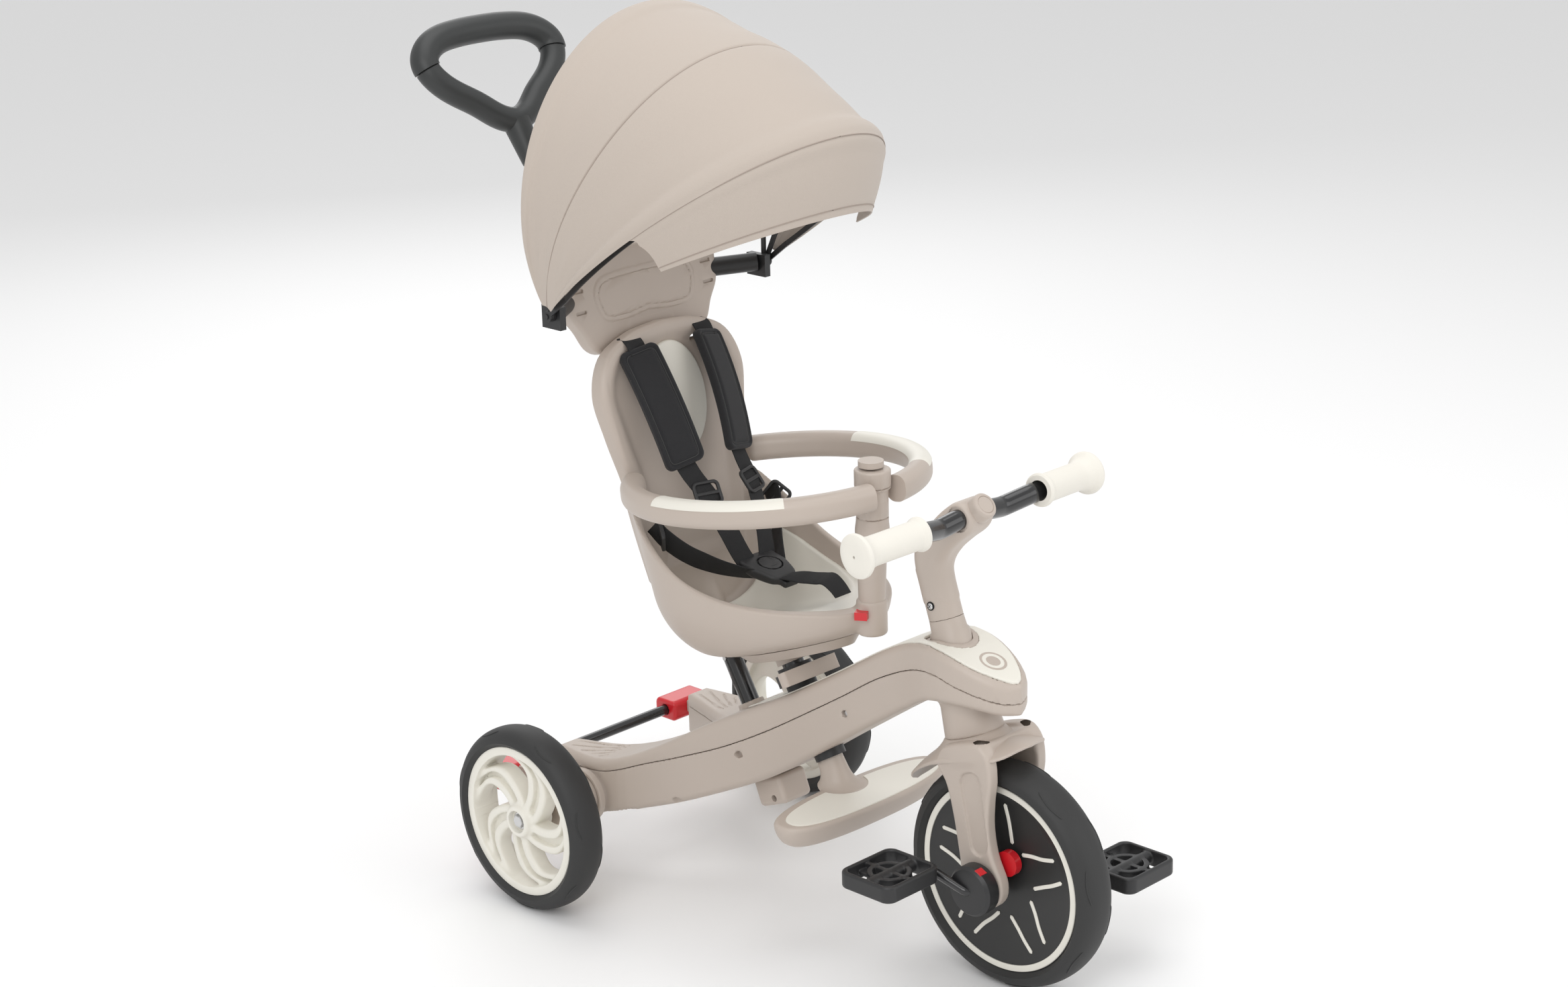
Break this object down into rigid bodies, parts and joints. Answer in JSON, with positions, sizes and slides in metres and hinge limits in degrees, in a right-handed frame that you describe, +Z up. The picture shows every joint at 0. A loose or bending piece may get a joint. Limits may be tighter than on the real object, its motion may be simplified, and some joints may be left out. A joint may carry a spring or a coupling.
{
  "type": "tricycle",
  "caption": "Children's tricycle with a push pole and loop handle, bucket seat with harness and padded guard ring, folding sun canopy, and pedals on the front wheel.",
  "frame": {"origin": "on the ground, in the middle plane, under the middle of the overall length from the front tyre to the loop handle", "axes": "+X towards the front wheel, +Y to the rider's left, +Z up"},
  "size_m": [0.9564, 0.4946, 1.0126],
  "materials": {
    "taupe_plastic": "satin",
    "cream_plastic": "satin",
    "cream_rubber": "matte",
    "black_plastic": "satin",
    "red_plastic": "satin",
    "tyre_foam": "matte",
    "grip_rubber": "matte",
    "black_steel": "satin",
    "bright_steel": "satin",
    "canopy_fabric": "matte",
    "pad_fabric": "matte",
    "webbing": "matte"
  },
  "bodies": {
    "frame": {"frame_lower_shell": "taupe_plastic", "frame_upper_shell": "taupe_plastic", "frame_inlay": "cream_plastic", "steering_bushes": "black_plastic", "post_socket": "black_plastic", "pole_tube": "black_steel", "rear_axle": "bright_steel", "frame_fasteners": "bright_steel", "fold_latch": "taupe_plastic", "clamp_band": "black_plastic"},
    "clamp_lever": {"clamp_lever": "taupe_plastic"},
    "brake": {"brake_rod": "black_steel", "brake_pedals": "red_plastic"},
    "rear_wheel_left": {"rear_tyre_left": "tyre_foam", "rear_rim_left": "cream_plastic"},
    "rear_wheel_right": {"rear_tyre_right": "tyre_foam", "rear_rim_right": "cream_plastic"},
    "fork": {"fork": "taupe_plastic", "mudguard": "taupe_plastic", "steering_tube": "taupe_plastic", "neck": "taupe_plastic", "handlebar": "black_steel", "handlebar_grips": "cream_rubber"},
    "knob": {"knob": "taupe_plastic"},
    "front_wheel": {"front_tyre": "tyre_foam", "front_disc": "black_plastic", "front_ring": "cream_plastic"},
    "clutch_button": {"clutch_button": "red_plastic"},
    "crankset": {"crank": "black_steel", "crank_covers": "black_plastic"},
    "crank_button_left": {"crank_button_left": "red_plastic"},
    "crank_button_right": {"crank_button_right": "red_plastic"},
    "pedal_left": {"pedal_left": "black_plastic"},
    "pedal_right": {"pedal_right": "black_plastic"},
    "seat": {"seat_shell": "taupe_plastic", "seat_tray": "taupe_plastic", "seat_pad": "cream_plastic", "back_pad": "cream_plastic", "seat_post": "black_steel", "headrest": "taupe_plastic", "canopy_arms": "black_plastic", "rear_bow": "black_steel", "shoulder_pads": "pad_fabric", "harness_straps": "webbing", "buckle": "black_plastic", "strap_adjusters": "black_plastic", "guard_post": "taupe_plastic"},
    "canopy_mid": {"mid_bow": "black_steel"},
    "canopy_front": {"front_bow": "black_steel", "canopy_cloth": "canopy_fabric"},
    "buckle_button": {"buckle_button": "black_plastic"},
    "guard_arm_left": {"guard_arm_left": "taupe_plastic"},
    "guard_arm_right": {"guard_arm_right": "taupe_plastic"},
    "guard_button": {"guard_button": "taupe_plastic"},
    "release_button": {"release_button": "red_plastic"},
    "footrest": {"footrest_rim": "taupe_plastic", "footrest_top": "cream_plastic"},
    "push_handle": {"handle_pole": "black_steel", "handle_loop": "black_plastic", "handle_grip": "grip_rubber"}
  },
  "joints": [
    {"name": "steering", "type": "hinge", "parent": "frame", "child": "fork", "pos_m": [0.3512, 0, 0.127], "axis": [-0.3123, 0, 0.95], "range_deg": [-30, 30]},
    {"name": "front_wheel_spin", "type": "hinge", "parent": "fork", "child": "front_wheel", "pos_m": [0.3512, 0, 0.127], "axis": [0, 1, 0], "continuous": true},
    {"name": "crank_spin", "type": "hinge", "parent": "fork", "child": "crankset", "pos_m": [0.3512, 0, 0.127], "axis": [0, 1, 0], "continuous": true},
    {"name": "pedal_left_spin", "type": "hinge", "parent": "crankset", "child": "pedal_left", "pos_m": [0.409, 0, 0.10458], "axis": [0, 1, 0], "continuous": true},
    {"name": "pedal_right_spin", "type": "hinge", "parent": "crankset", "child": "pedal_right", "pos_m": [0.2934, 0, 0.14942], "axis": [0, 1, 0], "continuous": true},
    {"name": "clutch_press", "type": "slide", "parent": "front_wheel", "child": "clutch_button", "axis": [0, 1, 0], "range_m": [0, 0.002], "stiffness_N_per_m": 300, "springref_m": -0.002},
    {"name": "crank_left_press", "type": "slide", "parent": "crankset", "child": "crank_button_left", "axis": [0.4226, 0, 0.9063], "range_m": [0, 0.002], "stiffness_N_per_m": 300, "springref_m": -0.002},
    {"name": "crank_right_press", "type": "slide", "parent": "crankset", "child": "crank_button_right", "axis": [-0.4226, 0, -0.9063], "range_m": [0, 0.002], "stiffness_N_per_m": 300, "springref_m": -0.002},
    {"name": "knob_turn", "type": "hinge", "parent": "fork", "child": "knob", "pos_m": [0.30731, 0, 0.52943], "axis": [0.7638, 0, 0.6455], "continuous": true},
    {"name": "rear_left_spin", "type": "hinge", "parent": "frame", "child": "rear_wheel_left", "pos_m": [-0.1798, 0.2217, 0.10875], "axis": [0, 1, 0], "continuous": true},
    {"name": "rear_right_spin", "type": "hinge", "parent": "frame", "child": "rear_wheel_right", "pos_m": [-0.1798, -0.2217, 0.10875], "axis": [0, 1, 0], "continuous": true},
    {"name": "brake_press", "type": "hinge", "parent": "frame", "child": "brake", "pos_m": [-0.1798, 0, 0.10875], "axis": [0, -1, 0], "range_deg": [0, 10]},
    {"name": "seat_height", "type": "slide", "parent": "frame", "child": "seat", "axis": [-0.497, 0, 0.8678], "range_m": [0, 0.04]},
    {"name": "clamp_swing", "type": "hinge", "parent": "frame", "child": "clamp_lever", "pos_m": [0.06347, 0.027, 0.28678], "axis": [-0.497, 0, 0.8678], "range_deg": [0, 80]},
    {"name": "handle_height", "type": "slide", "parent": "frame", "child": "push_handle", "axis": [-0.497, 0, 0.8678], "range_m": [-0.08, 0]},
    {"name": "guard_left_swing", "type": "hinge", "parent": "seat", "child": "guard_arm_left", "pos_m": [-0.11517, 0.0995, 0.48781], "axis": [-0.0993, 0, 0.9951], "range_deg": [0, 55]},
    {"name": "guard_right_swing", "type": "hinge", "parent": "seat", "child": "guard_arm_right", "pos_m": [-0.11517, -0.0995, 0.48781], "axis": [0.0993, 0, -0.9951], "range_deg": [0, 55]},
    {"name": "guard_press", "type": "slide", "parent": "seat", "child": "guard_button", "axis": [0, 0, -1], "range_m": [0, 0.0004], "stiffness_N_per_m": 300, "springref_m": -0.002},
    {"name": "release_press", "type": "slide", "parent": "seat", "child": "release_button", "axis": [-0.5, 0.866, 0], "range_m": [0, 0.002], "stiffness_N_per_m": 300, "springref_m": -0.002},
    {"name": "buckle_press", "type": "slide", "parent": "seat", "child": "buckle_button", "axis": [0.3256, 0, -0.9455], "range_m": [0, 0.0008], "stiffness_N_per_m": 300, "springref_m": -0.002},
    {"name": "canopy_fold", "type": "hinge", "parent": "seat", "child": "canopy_front", "pos_m": [-0.1644, 0, 0.6906], "axis": [0, 1, 0], "range_deg": [-34, 0], "deforming": ["canopy_cloth"]},
    {"name": "canopy_mid_fold", "type": "hinge", "parent": "seat", "child": "canopy_mid", "pos_m": [-0.1644, 0, 0.6906], "axis": [0, 1, 0], "range_deg": [-17, 0]},
    {"name": "footrest_pull", "type": "slide", "parent": "frame", "child": "footrest", "axis": [0.497, 0, -0.8678], "range_m": [0, 0.03]}
  ],
  "couplings": [
    {"joint": "crank_spin", "follows": "front_wheel_spin", "ratio": 1},
    {"joint": "canopy_mid_fold", "follows": "canopy_fold", "ratio": 0.5}
  ]
}
